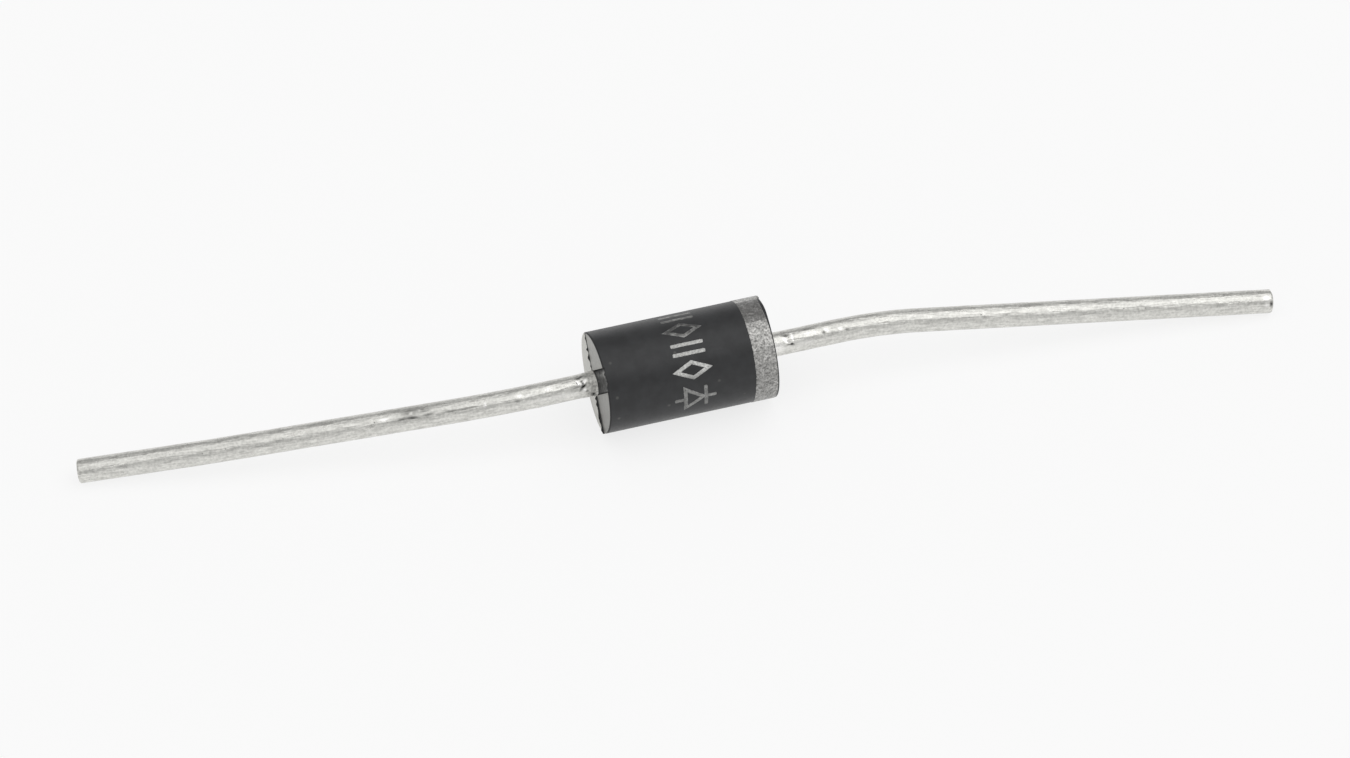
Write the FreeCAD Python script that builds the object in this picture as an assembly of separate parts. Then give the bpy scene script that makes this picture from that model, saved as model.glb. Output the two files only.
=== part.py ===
import FreeCAD, Part
import math
import os

# Axial rectifier diode: a plastic cylinder moulded in two halves round a silicon die,
# which is soldered between the nail heads of two tin plated wire leads.
# X runs along the body from the anode end to the cathode end, and Z is up.
# The origin lies on the bench under the middle of the body.
# The diode lies as it comes to rest: on its side, and on the tips of its two bent leads.

# Moulded body
body_diameter = 5.30
body_length = 9.16
end_draft_deg = 1.9
parting_roll_deg = 50.0
rim_bevel = 0.05
flash_height = 0.015
flash_width = 0.05
gate_roll_deg = 133.0
gate_width = 1.28
gate_depth = 0.10

# Polarity band, printed beside the cathode end
band_width = 1.165
band_bare_rim = 0.01
ink_thickness = 0.02

# Lead wire, with the root that the mould closes on and the cut tip
lead_diameter = 1.25
root_diameter = 1.31
root_inside = 0.40
root_taper = 0.85
tip_chamfer = 0.06

# Nail head and the coined flat that anchors a lead in the plastic
head_diameter = 3.00
head_thickness = 0.50
anchor_gap = 1.05
anchor_length = 0.80
anchor_thickness = 0.70
anchor_span = 1.95

# Anode lead: two bends away from the viewer, each set by its distance from the end face
anode_length = 26.70
anode_bend_at = 5.05
anode_bend_deg = 9.70
anode_second_bend_at = 20.0
anode_second_bend_deg = 3.50
anode_bend_radius = 30.0

# Cathode lead: one bend towards the viewer
cathode_length = 27.25
cathode_bend_at = 6.11
cathode_bend_deg = 8.80
cathode_bend_radius = 28.7

# Dents that the heading machine's jaws press into both sides of a lead
grip_roll_deg = 133.0
grip_slant_deg = 38.0
grip_count = 3
grip_pitch = 0.30
grip_radius = 0.11
grip_depth = 0.055
anode_grip_at = 0.62
cathode_grip_at = 0.60

# Die, solder and the rubber coating of the junction
die_side = 2.00
die_thickness = 0.28
solder_diameter = 1.90
solder_thickness = 0.05
coating_cover = 0.30
coating_height = 0.30

body_radius = body_diameter / 2
lead_radius = lead_diameter / 2
head_radius = head_diameter / 2
half_body = body_length / 2
half_die = die_thickness / 2
half_stack = half_die + solder_thickness
axis_height = body_radius + ink_thickness

centre = FreeCAD.Vector(0, 0, 0)
along_x = FreeCAD.Vector(1, 0, 0)


def across(roll_deg):
    """Unit vector square to the body's axis, turned from +Y towards +Z."""
    roll = math.radians(roll_deg)
    return FreeCAD.Vector(0, math.cos(roll), math.sin(roll))


def disc(radius, start, end):
    """Cylinder on the body's axis between two places along it."""
    return Part.makeCylinder(radius, end - start, FreeCAD.Vector(start, 0, 0), along_x)


def prism_across(outline, width, roll_deg):
    """Prism of an outline drawn along the axis and up from a plane rolled about it."""
    side = across(roll_deg)
    up = across(roll_deg + 90)
    points = [along_x * x + up * height - side * (width / 2) for x, height in outline]
    return Part.Face(Part.makePolygon(points + points[:1])).extrude(side * width)


def slab_on_parting(thickness, length, width):
    """Plate that lies in the parting plane."""
    half = length / 2
    edge = thickness / 2
    outline = [(-half, -edge), (half, -edge), (half, edge), (-half, edge)]
    return prism_across(outline, width, parting_roll_deg)


def drafted_cylinder(radius, length):
    """Cylinder whose end faces fall away on both sides of the parting plane."""
    half = length / 2
    reach = 2 * radius
    fall = reach * math.tan(math.radians(end_draft_deg))
    outline = [(-half, 0), (-half + fall, reach), (half - fall, reach)]
    outline += [(half, 0), (half - fall, -reach), (-half + fall, -reach)]
    return disc(radius, -length, length).common(prism_across(outline, 2 * reach, parting_roll_deg))


def gate_scar():
    """Cut where the gate broke off, from the anode lead out to the rim of one half."""
    reach = 2 * body_radius
    fall = reach * math.tan(math.radians(end_draft_deg))
    floor = -half_body + gate_depth
    outline = [(floor, 0), (floor + fall, reach), (-body_length, reach), (-body_length, 0)]
    return prism_across(outline, gate_width, gate_roll_deg - 90)


def moulding():
    """Outside of the body: bevelled rims, flash along the parting plane and the gate scar."""
    solid = drafted_cylinder(body_radius, body_length)
    rims = [edge for edge in solid.Edges if not isinstance(edge.Curve, Part.Line)]
    solid = solid.makeChamfer(rim_bevel, rims)
    proud = drafted_cylinder(body_radius + flash_height, body_length + 2 * flash_height)
    flash = proud.common(slab_on_parting(flash_width, 2 * body_length, 2 * body_diameter))
    return solid.fuse(flash).cut(gate_scar()).removeSplitter()


def band(outside):
    """Ring of ink that follows the cylinder and its flash."""
    end = half_body - body_radius * math.tan(math.radians(end_draft_deg)) - rim_bevel - band_bare_rim
    ring = disc(body_radius + ink_thickness, end - band_width, end)
    over_flash = disc(body_radius + flash_height + ink_thickness, end - band_width, end)
    strip = slab_on_parting(flash_width + 2 * ink_thickness, 2 * body_length, 2 * body_diameter)
    return ring.fuse(over_flash.common(strip)).cut(outside)


def rounded_path(corners, radius):
    """Wire of straight runs joined by tangent arcs."""
    edges = []
    here = corners[0]
    for last, corner, following in zip(corners, corners[1:], corners[2:]):
        before = (corner - last).normalize()
        after = (following - corner).normalize()
        half_turn = before.getAngle(after) / 2
        setback = radius * math.tan(half_turn)
        inward = (after - before).normalize()
        middle = corner + inward * (radius / math.cos(half_turn) - radius)
        edges.append(Part.LineSegment(here, corner - before * setback).toShape())
        edges.append(Part.Arc(corner - before * setback, middle, corner + after * setback).toShape())
        here = corner + after * setback
    edges.append(Part.LineSegment(here, corners[-1]).toShape())
    return Part.Wire(edges)


def lead_corners(side, length, bends, roll_deg):
    """Start, corners and tip of a lead's axis, bent in one plane."""
    sideways = across(roll_deg)
    corners = [along_x * (side * half_stack)]
    here = along_x * (side * half_body)
    travelled = 0.0
    slope = 0.0
    for at, turn in bends:
        here = here + (along_x * (side * math.cos(slope)) + sideways * math.sin(slope)) * (at - travelled)
        corners.append(here)
        travelled = at
        slope += math.radians(turn)
    run = length - travelled
    corners.append(here + (along_x * (side * math.cos(slope)) + sideways * math.sin(slope)) * run)
    return corners


def resting_slant_deg(length, bends):
    """Angle below level of a lead's plane of bending that lets the tip's lower edge touch the bench."""
    offset = 0.0
    travelled = 0.0
    slope = 0.0
    for at, turn in bends + [(length - tip_chamfer, 0.0)]:
        offset += (at - travelled) * math.sin(slope)
        travelled = at
        slope += math.radians(turn)
    fall = 0.0
    for _ in range(6):
        underside = lead_radius * math.sqrt(1 - (math.sin(slope) * fall) ** 2)
        fall = min(1.0, (axis_height - underside) / offset)
    return math.degrees(math.asin(fall))


def head(side):
    """Nail head that the die is soldered to."""
    return Part.makeCylinder(head_radius, head_thickness, along_x * (side * half_stack), along_x * side)


def anchor_zone(side, radius):
    """Stretch of the lead, as wide as asked, where it is coined flat."""
    start = half_stack + head_thickness + anchor_gap
    return Part.makeCylinder(radius, anchor_length, along_x * (side * start), along_x * side)


def anchored(wire, side):
    """The wire with its coined flat, squeezed thin one way and spread the other."""
    flat = slab_on_parting(anchor_thickness, 2 * body_length, 2 * body_diameter)
    squeezed = wire.cut(anchor_zone(side, lead_diameter).cut(flat))
    return squeezed.fuse(anchor_zone(side, anchor_span / 2).common(flat))


def root(side):
    """Slightly swollen stretch that the mould closes on, tapering to the wire outside."""
    out = along_x * side
    inside = Part.makeCylinder(root_diameter / 2, root_inside, out * (half_body - root_inside), out)
    outside = Part.makeCone(root_diameter / 2, lead_radius, root_taper, out * half_body, out)
    return inside.fuse(outside)


def grip_dents(side, first_at):
    """Slanting dents on both sides of a lead, in alternating directions."""
    cuts = []
    for jaw in (0, 180):
        outward = across(grip_roll_deg + jaw)
        tangent = across(grip_roll_deg + jaw + 90)
        for count in range(grip_count):
            slant = math.radians(grip_slant_deg) * (-1) ** count
            direction = along_x * math.cos(slant) + tangent * math.sin(slant)
            place = along_x * (side * (half_body + first_at + count * grip_pitch))
            middle = place + outward * (lead_radius + grip_radius - grip_depth)
            cuts.append(Part.makeCylinder(grip_radius, lead_diameter,
                                          middle - direction * lead_radius, direction))
    return cuts


def lead(side, length, bends, roll_deg, radius, grip_at):
    """One whole lead; side is -1 at the anode end and 1 at the cathode end."""
    corners = lead_corners(side, length, bends, roll_deg)
    heading = (corners[-1] - corners[-2]).normalize()
    corners[-1] = corners[-1] - heading * tip_chamfer
    section = Part.Wire(Part.makeCircle(lead_radius, corners[0], along_x))
    wire = rounded_path(corners, radius).makePipeShell([section], True, False)
    tip = Part.makeCone(lead_radius, lead_radius - tip_chamfer, tip_chamfer, corners[-1], heading)
    solid = anchored(wire.fuse(tip), side).fuse([head(side), root(side)])
    return solid.cut(grip_dents(side, grip_at)).removeSplitter()


def anode_lead():
    bends = [(anode_bend_at, anode_bend_deg), (anode_second_bend_at, anode_second_bend_deg)]
    roll = -resting_slant_deg(anode_length, bends)
    return lead(-1, anode_length, bends, roll, anode_bend_radius, anode_grip_at)


def cathode_lead():
    bends = [(cathode_bend_at, cathode_bend_deg)]
    roll = 180 + resting_slant_deg(cathode_length, bends)
    return lead(1, cathode_length, bends, roll, cathode_bend_radius, cathode_grip_at)


def die():
    """Square silicon chip in the middle of the body."""
    corner = FreeCAD.Vector(-half_die, -die_side / 2, -die_side / 2)
    return Part.makeBox(die_thickness, die_side, die_side, corner)


def solder(side):
    """Thin disc of solder between the die and a head."""
    start = along_x * (side * half_die)
    return Part.makeCylinder(solder_diameter / 2, solder_thickness, start, along_x * side)


def coating(inner_pieces):
    """Rubber cast round the die, bulging out over the rims of both heads."""
    edge = half_stack + coating_cover
    crown = head_radius + coating_height
    profile = [(-edge, 0), (-edge, head_radius), (-half_stack, crown)]
    profile += [(half_stack, crown), (edge, head_radius), (edge, 0), (-edge, 0)]
    outline = Part.makePolygon([FreeCAD.Vector(x, 0, radius) for x, radius in profile])
    return Part.Face(outline).revolve(centre, along_x, 360).cut(inner_pieces)


def pieces():
    """Every piece by its name, with the body's axis still at the origin."""
    made = {"anode_lead": anode_lead(), "cathode_lead": cathode_lead(), "silicon_die": die(),
            "anode_solder": solder(-1), "cathode_solder": solder(1)}
    made["junction_coating"] = coating(list(made.values()))
    outside = moulding()
    made["cathode_band"] = band(outside)
    inner = [shape for name, shape in made.items() if name != "cathode_band"]
    made["epoxy_body"] = outside.cut(inner)
    return made


def main():
    os.makedirs("parts", exist_ok=True)
    for name, shape in pieces().items():
        shape.translate(FreeCAD.Vector(0, 0, axis_height))
        solids = shape.Solids
        placed = solids[0] if len(solids) == 1 else Part.makeCompound(solids)
        placed.exportStep("parts/" + name + ".step")
        box = placed.BoundBox
        print(name, "solids", len(solids), "valid", placed.isValid(), "volume", round(placed.Volume, 4),
              "low", [round(value, 3) for value in (box.XMin, box.YMin, box.ZMin)],
              "high", [round(value, 3) for value in (box.XMax, box.YMax, box.ZMax)])


main()
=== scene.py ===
"""Looks of an axial rectifier diode, built round its packed model.

Each Operator makes one piece or one group of like pieces, and the Panel lists them.
Sizes are in metres, and X runs along the body from the anode end to the cathode end.
"""

import random
from math import acos, copysign, cos, degrees, exp, hypot, pi, radians, sin, tan

import bmesh
import bpy
from mathutils import Matrix, Vector, noise


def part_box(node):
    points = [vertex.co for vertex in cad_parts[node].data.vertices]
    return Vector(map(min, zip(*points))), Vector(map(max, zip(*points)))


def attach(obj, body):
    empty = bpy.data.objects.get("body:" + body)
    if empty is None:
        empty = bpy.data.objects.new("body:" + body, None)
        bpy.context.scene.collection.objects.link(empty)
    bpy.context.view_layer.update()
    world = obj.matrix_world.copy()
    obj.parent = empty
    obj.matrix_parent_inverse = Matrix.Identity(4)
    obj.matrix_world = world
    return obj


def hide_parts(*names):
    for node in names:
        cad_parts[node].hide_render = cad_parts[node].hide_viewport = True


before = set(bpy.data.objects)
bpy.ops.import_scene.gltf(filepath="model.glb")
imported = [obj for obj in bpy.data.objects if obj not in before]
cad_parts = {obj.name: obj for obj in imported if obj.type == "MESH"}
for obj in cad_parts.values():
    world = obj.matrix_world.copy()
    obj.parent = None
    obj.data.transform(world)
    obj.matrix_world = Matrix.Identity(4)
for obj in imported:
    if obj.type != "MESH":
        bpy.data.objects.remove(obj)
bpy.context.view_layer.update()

bl_info = {
    "name": "Axial rectifier diode",
    "version": (1, 0, 0),
    "blender": (4, 5, 0),
    "location": "3D View > Sidebar > Diode",
    "description": "Builds the moulded body, the tinned leads and the printing of a rectifier diode",
    "category": "Add Mesh",
}

MM = 0.001
TAU = 2 * pi

body_low, body_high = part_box("epoxy_body")
band_low, band_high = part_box("cathode_band")
axis_height = (body_low.z + body_high.z) / 2


# Settings that a user would change


def size(name, description, millimetres):
    return bpy.props.FloatProperty(name=name, description=description, default=millimetres * MM,
                                   min=0.0, precision=5, unit="LENGTH")


def angle(name, description, turned):
    return bpy.props.FloatProperty(name=name, description=description, default=radians(turned),
                                   subtype="ANGLE")


def share(name, description, value):
    return bpy.props.FloatProperty(name=name, description=description, default=value,
                                   min=0.0, max=2.0, subtype="FACTOR")


def colour(name, description, rgb):
    return bpy.props.FloatVectorProperty(name=name, description=description, default=rgb,
                                         min=0.0, max=1.0, size=3, subtype="COLOR")


class DIODE_PG_body(bpy.types.PropertyGroup):
    """Moulded body"""

    diameter: size("Diameter", "Diameter of the moulded cylinder", 5.30)
    length: size("Length", "Length between the ends of the parting line", 9.16)
    draft: angle("Draft", "Slope of each half of an end face", 1.9)
    parting_roll: angle("Parting roll", "Turn of the parting plane about the body's axis", 50.0)
    rim_radius: size("Rim radius", "Rounding of the edge between side and end face", 0.055)
    flash_height: size("Flash height", "Height of the flash along the parting line", 0.015)
    flash_width: size("Flash width", "Width of the flash at its foot", 0.05)
    gate_roll: angle("Gate roll", "Turn of the gate scar about the body's axis", 133.0)
    gate_width: size("Gate width", "Width of the scar where the gate broke off", 1.28)
    gate_depth: size("Gate depth", "Depth of the gate scar", 0.10)
    epoxy: colour("Epoxy", "Colour of the filled epoxy", (0.0200, 0.0207, 0.0222))


class DIODE_PG_print(bpy.types.PropertyGroup):
    """Printed band and marks"""

    ink_thickness: size("Band thickness", "Thickness of the band's ink", 0.02)
    ragged: size("Ragged edge", "Unevenness of the band's edges", 0.022)
    stroke: size("Stroke", "Width of the marks' strokes", 0.20)
    mark_thickness: size("Mark thickness", "Thickness of the marks' ink", 0.01)
    mark_place: size("Mark place", "Distance of the row of marks from the middle of the body", 0.03)
    band_ink: colour("Band ink", "Colour of the band's silver ink", (0.47, 0.465, 0.45))
    mark_ink: colour("Mark ink", "Colour of the marks' grey ink", (0.56, 0.56, 0.545))


class DIODE_PG_leads(bpy.types.PropertyGroup):
    """Tinned leads"""

    diameter: size("Wire diameter", "Diameter of both leads", 1.25)
    head_start: size("Head place", "Distance of a nail head from the middle of the body", 0.19)
    head_diameter: size("Head diameter", "Diameter of the nail heads inside the body", 3.00)
    head_thickness: size("Head thickness", "Thickness of the nail heads", 0.50)
    flat_start: size("Flat place", "Distance of the coined flat from the middle of the body", 1.74)
    flat_length: size("Flat length", "Length of the coined flat", 0.80)
    flat_thickness: size("Flat thickness", "Thickness of the coined flat", 0.70)
    flat_span: size("Flat span", "Width of the coined flat", 1.95)
    root_diameter: size("Root diameter", "Diameter where the mould closes on the wire", 1.31)
    root_inside: size("Root inside", "Length of the root inside the body", 0.40)
    root_taper: size("Root taper", "Length of the root's taper outside the body", 0.85)
    tip_chamfer: size("Tip chamfer", "Chamfer of the cut tips", 0.06)
    grip_depth: size("Grip depth", "Depth of the deepest dents of the jaws", 0.05)
    tin: colour("Tin", "Colour of the tin plate", (0.70, 0.695, 0.66))


class DIODE_PG_stage(bpy.types.PropertyGroup):
    """Camera, lamps, room and floor"""

    azimuth: angle("Azimuth", "Camera's turn about the upright", -16.785)
    elevation: angle("Elevation", "Camera's height above the horizon", 45.482)
    distance: size("Distance", "Camera's distance from the point it looks at", 267.0)
    aim_right: size("Aim right", "How far to the left of the body's middle the camera looks", 0.270)
    aim_down: size("Aim down", "How far below the body's middle the camera looks", 0.731)
    lens: bpy.props.FloatProperty(name="Lens", description="Focal length in millimetres",
                                  default=138.82, min=1.0)
    lamp_height: size("Lamp height", "Height of the soft overhead lamps", 700.0)
    lamp_level: share("Lamp level", "Brightness of the lamps' faces, where 1 is white", 0.74)
    lamp_lean: share("Lamp lean", "How much brighter the right lamp is than the two together", 0.23)
    near_wall: share("Near wall", "Brightness of the room behind the camera, on the left", 0.53)
    right_wall: share("Right wall", "Brightness of the room behind the camera, on the right", 0.62)
    far_wall: share("Far wall", "Brightness of the room beyond the object", 0.45)
    floor_white: share("Floor white", "Share of the floor that shows as plain white paper", 0.78)
    floor: colour("Floor", "Colour of the floor", (0.94, 0.94, 0.94))


SETTINGS = (("diode_body", DIODE_PG_body), ("diode_print", DIODE_PG_print),
            ("diode_leads", DIODE_PG_leads), ("diode_stage", DIODE_PG_stage))


# Meshes


def held(value, low=0.0, high=1.0):
    """Value kept between two limits."""
    return min(high, max(low, value))


def wrapped(turn):
    """The same turn, less than half a turn either way."""
    return (turn + pi) % TAU - pi


def across(roll):
    """Unit vector square to the body's axis, turned from +Y towards +Z."""
    return Vector((0.0, cos(roll), sin(roll)))


def round_axis(x, radius, roll):
    """Point at a distance from the body's axis."""
    return Vector((x, 0.0, axis_height)) + across(roll) * radius


def grain(place, grain_size, seed=0.0):
    """Smooth noise between -1 and 1 with lumps of about the given size."""
    return noise.noise(Vector(place) / grain_size + Vector((seed, seed, seed)))


def bump(distance, reach):
    """Rounded bump that is 1 at its middle and fades over its reach."""
    return exp(-(distance / reach) ** 2)


def new_object(name, data):
    """Object in the scene that holds the data."""
    made = bpy.data.objects.new(name, data)
    bpy.context.scene.collection.objects.link(made)
    return made


class Skin:
    """Points, the faces between them and the values painted on the points."""

    def __init__(self):
        self.points = []
        self.faces = []
        self.painted = {}

    def point(self, place, **painted):
        self.points.append(place)
        for name, value in painted.items():
            self.painted.setdefault(name, {})[len(self.points) - 1] = value
        return len(self.points) - 1

    def join(self, first, second, closed=True):
        """Faces between two rows of points."""
        count = len(first) if closed else len(first) - 1
        for i in range(count):
            following = (i + 1) % len(first)
            self.faces.append((first[i], first[following], second[following], second[i]))

    def join_all(self, rows, closed=True):
        """Faces between each row of points and the next."""
        for first, second in zip(rows, rows[1:]):
            self.join(first, second, closed)

    def fan(self, middle, row, closed=True):
        """Triangles between one point and a row."""
        count = len(row) if closed else len(row) - 1
        for i in range(count):
            self.faces.append((middle, row[i], row[(i + 1) % len(row)]))

    def make(self, name, sharp_angle):
        """Object of the skin, smooth apart from edges sharper than the angle in degrees."""
        mesh = bpy.data.meshes.new(name)
        mesh.from_pydata(self.points, [], self.faces)
        for label, values in self.painted.items():
            single = isinstance(next(iter(values.values())), float)
            layer = mesh.attributes.new(label, "FLOAT" if single else "FLOAT_VECTOR", "POINT")
            for index, value in values.items():
                setattr(layer.data[index], "value" if single else "vector", value)
        shape = bmesh.new()
        shape.from_mesh(mesh)
        bmesh.ops.recalc_face_normals(shape, faces=shape.faces)
        shape.to_mesh(mesh)
        shape.free()
        mesh.shade_smooth()
        mesh.set_sharp_from_angle(angle=radians(sharp_angle))
        return new_object(name, mesh)


def settle(piece, material, nodes):
    """Gives a new piece its material and its place in the frame."""
    piece.data.materials.append(material)
    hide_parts(*nodes)
    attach(piece, "root")


# Moulded body


COLLAR_RADIUS = 0.66 * MM    # where the end face meets the lead
WALL_GAP = 0.006 * MM        # from the edge of the gate scar to the column on each side of it
COLUMN_STEP = 0.06 * MM      # between columns, apart from those beside the flash
FLASH_ARCS = (0.008, 0.016, 0.025, 0.04, 0.06, 0.09, 0.13)
CORNER_PLACE = 2.52 * MM     # middle of the torn corner of flash on the cathode rim
CORNER_HEIGHT = 0.12 * MM
BARE_ROLL = radians(86)      # middle of the stretch of the cathode rim that has no ink
BARE_REACH = radians(17)
BARE_LIP = 0.04 * MM

# Place, reach and height in millimetres of each torn spot, along the anode face's parting line
TORN_FLASH = ((2.33, 0.12, 0.03), (1.765, 0.07, 0.075), (1.327, 0.11, 0.085), (0.86, 0.05, 0.02),
              (-0.80, 0.06, 0.05), (-1.125, 0.11, 0.05), (-1.80, 0.28, 0.055), (-2.45, 0.08, 0.05))


def gate_turn(body):
    """Turn from the middle of the parting plane's gate half to the middle of the gate scar."""
    return body.gate_roll - body.parting_roll - pi / 2


def half_turns(body):
    """Pairs of turns, on the gate's half and on the other, at the rim ends of each column.

    Turns stand close together at the flash and at the gate's walls, which are slightly askew.
    """
    radius = body.diameter / 2
    edge = radius - body.rim_radius
    askew = gate_turn(body)
    stops = [(0.0, 0.0)]
    for side in (1, -1):
        for gap in (WALL_GAP, -WALL_GAP):
            wall = side * body.gate_width / 2 + gap
            stops.append((acos(wall / edge) + askew, acos(wall / cos(askew) / edge)))
    stops.append((pi, pi))
    step = COLUMN_STEP / radius
    close = [arc * MM / radius for arc in FLASH_ARCS]
    even = [step * i for i in range(3, int(pi / step) - 2)]
    turns = sorted(close + even + [pi - turn for turn in close])
    pairs = []
    for (first, far_first), (last, far_last) in zip(stops, stops[1:]):
        lowest = first + step / 3 * (first > 0)
        highest = last - step / 3 * (last < pi)
        for turn in turns:
            if lowest < turn < highest:
                passed = (turn - first) / (last - first)
                pairs.append((turn, far_first + (far_last - far_first) * passed))
        if last < pi:
            pairs.append((last, far_last))
    return pairs


def flash_ridge(body, p, d):
    """Height of the torn flash along the anode face's parting line, its share, and its darkness, partly
    painted shade.
    """
    wander = 0.010 * MM * grain((p, 0, 0), 0.3 * MM)
    foot = bump(d - wander, 0.55 * body.flash_width)
    torn = sum(height * bump(p - at * MM, reach * MM) for at, reach, height in TORN_FLASH)
    even = body.flash_height * (1.6 + 1.1 * grain((p, 0, 0), 0.14 * MM, 3.0))
    if p < -COLLAR_RADIUS:
        even += 0.055 * MM
    # Darker at the torn spots; the rest of the dark line is painted shade beside the ridge.
    dark = foot * min(1.0, 0.42 + 14 * torn + 0.25 * grain((p, 0, 0), 0.2 * MM, 6.0))
    return (even + torn * MM) * foot, foot, dark


def scar(body, p, d):
    """Extra fall in the gate scar, its painted shade at the walls and round the lead, and how broken the
    spot is.
    """
    turned = gate_turn(body)
    aside = p * cos(turned) + d * sin(turned)
    out = d * cos(turned) - p * sin(turned)
    if d <= 0 or abs(aside) > body.gate_width / 2:
        return 0.0, 0.0, 0.0
    rough = grain((p, d, 0), 0.24 * MM, 1.0) + 0.9 * grain((p, d, 0), 0.13 * MM, 2.0)
    lump = bump(aside - 0.31 * MM, 0.15 * MM) * bump(out - 2.32 * MM, 0.26 * MM)
    ridge = 0.34 * bump(aside - 0.31 * MM, 0.12 * MM) - 0.2 * bump(aside + 0.06 * MM, 0.17 * MM)
    from_axis = hypot(p, d)
    near_rim = bump(max(0.0, body.diameter / 2 - from_axis), 0.4 * MM)
    fall = body.gate_depth * (1 - 0.75 * near_rim) + 0.045 * MM * rough - 0.05 * MM * lump
    fall *= 1 - bump(max(0.0, from_axis - COLLAR_RADIUS), 0.16 * MM)
    # Painted shade: a dark ring round the lead's root and dark lines along the scar's walls, the upper
    # one wider.
    gap = bump(from_axis - COLLAR_RADIUS, 0.11 * MM)
    wall = bump(abs(aside) - body.gate_width / 2, 0.13 * MM if aside > 0 else 0.06 * MM)
    # Pale broken epoxy, with a painted highlight on the lump.
    fracture_and_highlight = 0.07 + 0.32 * rough + 0.60 * ridge + lump
    return fall, max(gap, 0.95 * wall), held(fracture_and_highlight, low=0.03)


def anode_face(body, p, d):
    """Fall behind the parting line, with shares of dark line and painted shade, gate scar, and smooth end
    face for the painted sheen.
    """
    fall = abs(d) * tan(body.draft) + 0.0012 * MM * grain((p, d, 0), 0.35 * MM, 7.0)
    extra, shade, broken = scar(body, p, d)
    if broken:
        return fall + extra, shade, broken, 0.0
    height, foot, dark = flash_ridge(body, p, d)
    # Painted sheen made weaker towards the bottom of the gate's half of the face.
    sheen_fade = 0.09 - 0.45 * p / body.diameter if d > 0 else 0.0
    return fall - height, dark, 0.0, (1.0 - foot) * (1.0 - sheen_fade)


def cathode_face(body, p, d):
    """Fall behind the parting line on the whole end face, which has no gate."""
    wander = 0.012 * MM * grain((p, 5 * MM, 0), 0.3 * MM)
    corner = bump(p - CORNER_PLACE, 0.15 * MM) * bump(d - wander, 0.05 * MM)
    fall = abs(d) * tan(body.draft) - CORNER_HEIGHT * corner
    fall -= body.flash_height * bump(d - wander, body.flash_width / 2)
    fall += 0.0012 * MM * grain((p, d, 9 * MM), 0.35 * MM)
    foot = bump(d - wander, 0.024 * MM)
    # Painted shade along the parting line; the rest of the face takes the painted sheen.
    return fall, 0.7 * foot * (1 - corner), corner, 1.0 - foot


def side_relief(body, x, turn):
    """Height of the flash and of the faint waves on the side."""
    radius = body.diameter / 2
    arc = radius * min(turn % pi, pi - turn % pi)
    height = 0.0025 * MM * grain((x, radius * cos(turn), radius * sin(turn)), 1.3 * MM, 4.0)
    if arc < 2 * body.flash_width:
        torn = 0.75 + 0.45 * grain((x, 0, turn * MM), 0.25 * MM, 5.0)
        height += body.flash_height * torn * bump(arc, body.flash_width / 2)
    return height


def bare_rim(roll):
    """Where the ink stops short of the cathode rim, which has a low bare lip there and darker painted
    shade.
    """
    return bump(wrapped(roll - BARE_ROLL), BARE_REACH)


def inked_corner(turn):
    """Where the band's ink reaches over the cathode rim, at the parting line's upper end."""
    return bump(min(turn, TAU - turn), radians(11))


def rim_ring(skin, body, turns, end, face, lean):
    """One ring of the rounded edge between an end face and the side."""
    edge = body.diameter / 2 - body.rim_radius
    ring = []
    for turn in turns:
        fall, seam, broken, flat = face(body, edge * cos(turn), edge * sin(turn))
        roll = body.parting_roll + turn
        bare = bare_rim(roll) if end > 0 else 0.0
        inset = fall + body.rim_radius * (1 - cos(lean)) - BARE_LIP * bare
        radius = edge + (body.rim_radius + side_relief(body, 0.0, turn)) * sin(lean)
        place = round_axis(end * (body.length / 2 - inset), radius, roll)
        # Painted shade along the rounded rims, darker where the cathode rim is bare.
        dark = 0.15 + 0.5 * bare if end > 0 else 0.5
        torn = broken * cos(lean) if end < 0 else max(broken, inked_corner(turn))
        ring.append(skin.point(place, seam=max(seam, dark * sin(lean)), broken=torn,
                               flat=flat * cos(lean)))
    return ring


def end_face(skin, body, halves, ring, end, face, rows):
    """End face in columns that cross the parting line and run along the gate's walls."""
    edge = body.diameter / 2 - body.rim_radius
    roll = body.parting_roll
    columns = []
    for i, (near, far) in enumerate(halves):
        foot = edge * cos(far)
        column = [ring[1 + i]]
        for row in range(1, 2 * rows):
            at = 1 - row / rows
            at *= 0.15 + 0.85 * at * at
            if row in (1, 2 * rows - 1):
                at = copysign(0.99, at)
            p = foot + (edge * cos(near) - foot) * max(0.0, at)
            d = edge * sin(near if at > 0 else far) * at
            fall, seam, broken, flat = face(body, p, d)
            place = Vector((end * (body.length / 2 - fall), 0.0, axis_height))
            place += across(roll) * p + across(roll + pi / 2) * d
            column.append(skin.point(place, seam=seam, broken=broken, flat=flat))
        column.append(ring[-1 - i])
        columns.append(column)
    skin.join_all(columns, closed=False)
    skin.fan(ring[0], columns[0], closed=False)
    skin.fan(ring[len(halves) + 1], columns[-1], closed=False)


def side_rings(skin, body, turns, anode, cathode, rows):
    """Rings of the side at even steps from one rim to the other, and one close to each rim."""
    beside_rim = 0.003
    rings = []
    for along in [beside_rim] + [row / rows for row in range(1, rows)] + [1 - beside_rim]:
        ring = []
        for turn, first, last in zip(turns, anode, cathode):
            start = skin.points[first].x
            x = start + (skin.points[last].x - start) * along
            radius = body.diameter / 2 + side_relief(body, x, turn)
            place = round_axis(x, radius, body.parting_roll + turn)
            ring.append(skin.point(place, seam=0.0, broken=0.0, flat=0.0))
        rings.append(ring)
    return rings


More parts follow.
